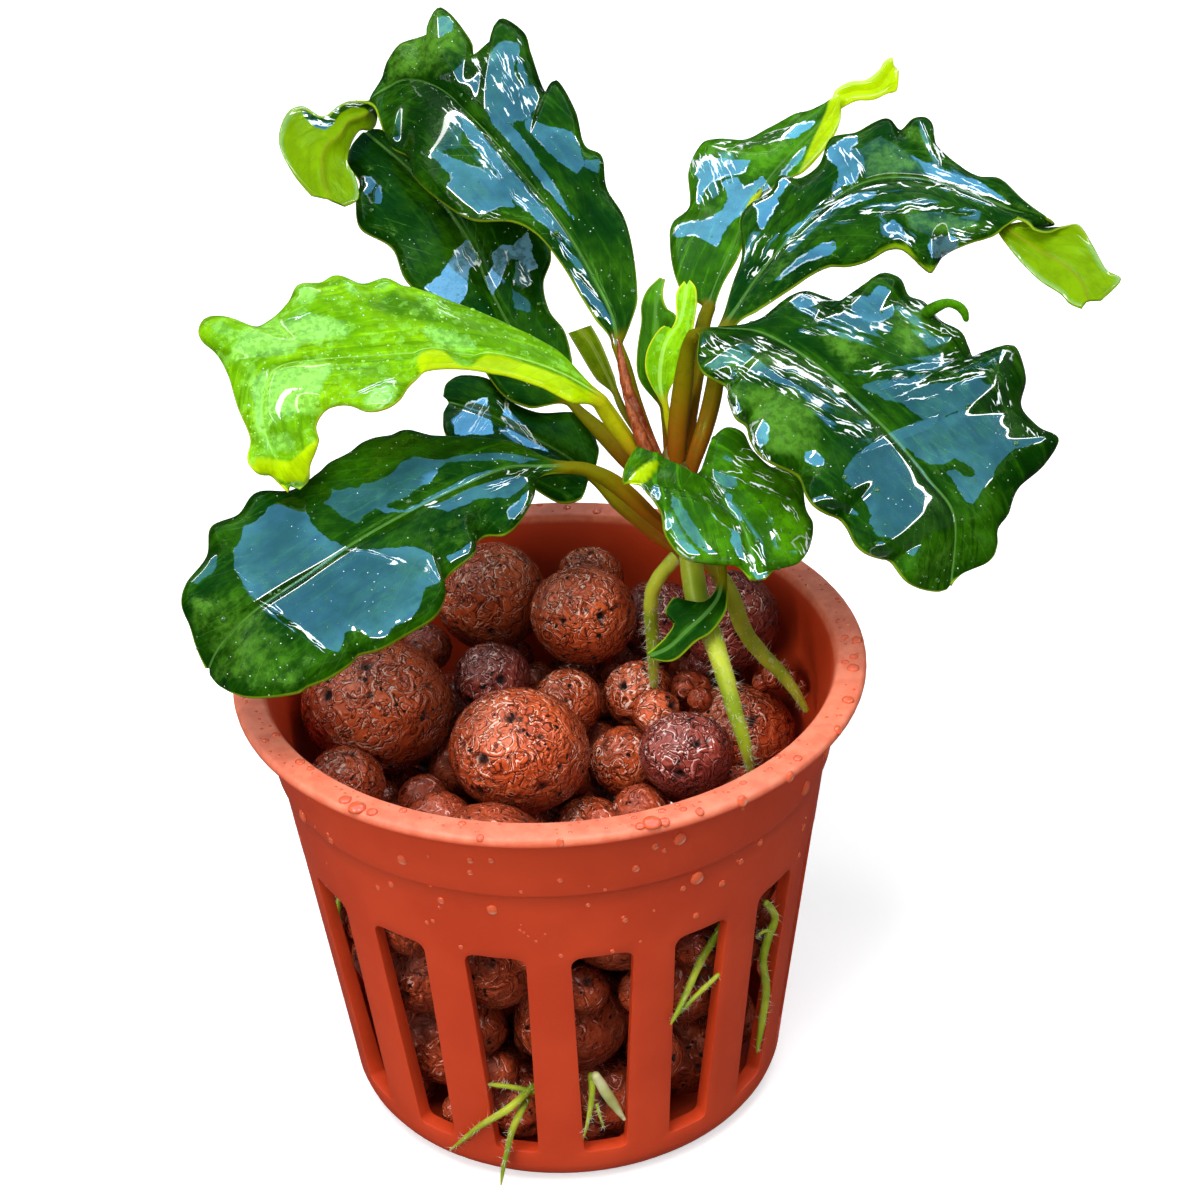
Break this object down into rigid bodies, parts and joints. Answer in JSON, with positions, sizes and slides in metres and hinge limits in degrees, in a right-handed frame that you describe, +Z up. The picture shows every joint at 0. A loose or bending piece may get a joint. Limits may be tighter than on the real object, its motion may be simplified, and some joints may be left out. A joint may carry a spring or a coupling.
{
  "type": "potted aquarium plant",
  "caption": "Broad, wavy-leaved epiphyte aquarium plant, roots bare, growing in a small slotted round net pot filled with fired clay pebbles.",
  "frame": {"origin": "centre of the pot's flat underside, on the surface that it stands on", "axes": "+Z up along the pot's axis; -Y towards the side the plant shows best; +X to that viewer's right"},
  "size_m": [0.0739, 0.0679, 0.0776],
  "materials": {
    "pot_plastic": "satin orange-red moulded plastic, damp",
    "fired_clay": "wet red-brown fired clay with a wrinkled, pitted skin",
    "leaf": null,
    "young_leaf": "young living leaf, light green, wet and glossy",
    "rhizome_and_sheath": "red-brown rhizome and papery sheaths",
    "root": "yellow-green living root with fine pale hairs"
  },
  "bodies": {
    "root": {"clay_pebble_01": "fired_clay", "clay_pebble_02": "fired_clay", "clay_pebble_03": "fired_clay", "clay_pebble_04": "fired_clay", "clay_pebble_05": "fired_clay", "clay_pebble_06": "fired_clay", "clay_pebble_07": "fired_clay", "clay_pebble_08": "fired_clay", "clay_pebble_09": "fired_clay", "clay_pebble_10": "fired_clay", "clay_pebble_11": "fired_clay", "clay_pebble_12": "fired_clay", "clay_pebble_13": "fired_clay", "clay_pebble_14": "fired_clay", "clay_pebble_15": "fired_clay", "clay_pebble_16": "fired_clay", "clay_pebble_17": "fired_clay", "clay_pebble_18": "fired_clay", "clay_pebble_19": "fired_clay", "clay_pebble_20": "fired_clay", "clay_pebble_21": "fired_clay", "clay_pebble_22": "fired_clay", "clay_pebble_23": "fired_clay", "clay_pebble_24": "fired_clay", "clay_pebble_25": "fired_clay", "clay_pebble_26": "fired_clay", "clay_pebble_27": "fired_clay", "clay_pebble_28": "fired_clay", "clay_pebble_29": "fired_clay", "clay_pebble_30": "fired_clay", "clay_pebble_31": "fired_clay", "clay_pebble_32": "fired_clay", "clay_pebble_33": "fired_clay", "clay_pebble_34": "fired_clay", "clay_pebble_35": "fired_clay", "clay_pebble_36": "fired_clay", "clay_pebble_37": "fired_clay", "clay_pebble_38": "fired_clay", "clay_pebble_39": "fired_clay", "clay_pebble_40": "fired_clay", "leaf_behind_upper_left": "leaf", "leaf_cut_short": "leaf", "leaf_dark_behind": "leaf", "leaf_front": "young_leaf", "leaf_lower_left": "leaf", "leaf_new_dark": "leaf", "leaf_new_light": "young_leaf", "leaf_right": "leaf", "leaf_sheath_lower": "rhizome_and_sheath", "leaf_sheath_upper": "rhizome_and_sheath", "leaf_torn": "leaf", "leaf_upper_back": "leaf", "leaf_upper_left": "leaf", "leaf_upper_right": "leaf", "leaf_young_left": "young_leaf", "net_pot": "pot_plastic", "rhizome": "rhizome_and_sheath", "root_front": "root", "root_inner": "root", "root_right": "root"}
  },
  "joints": []
}
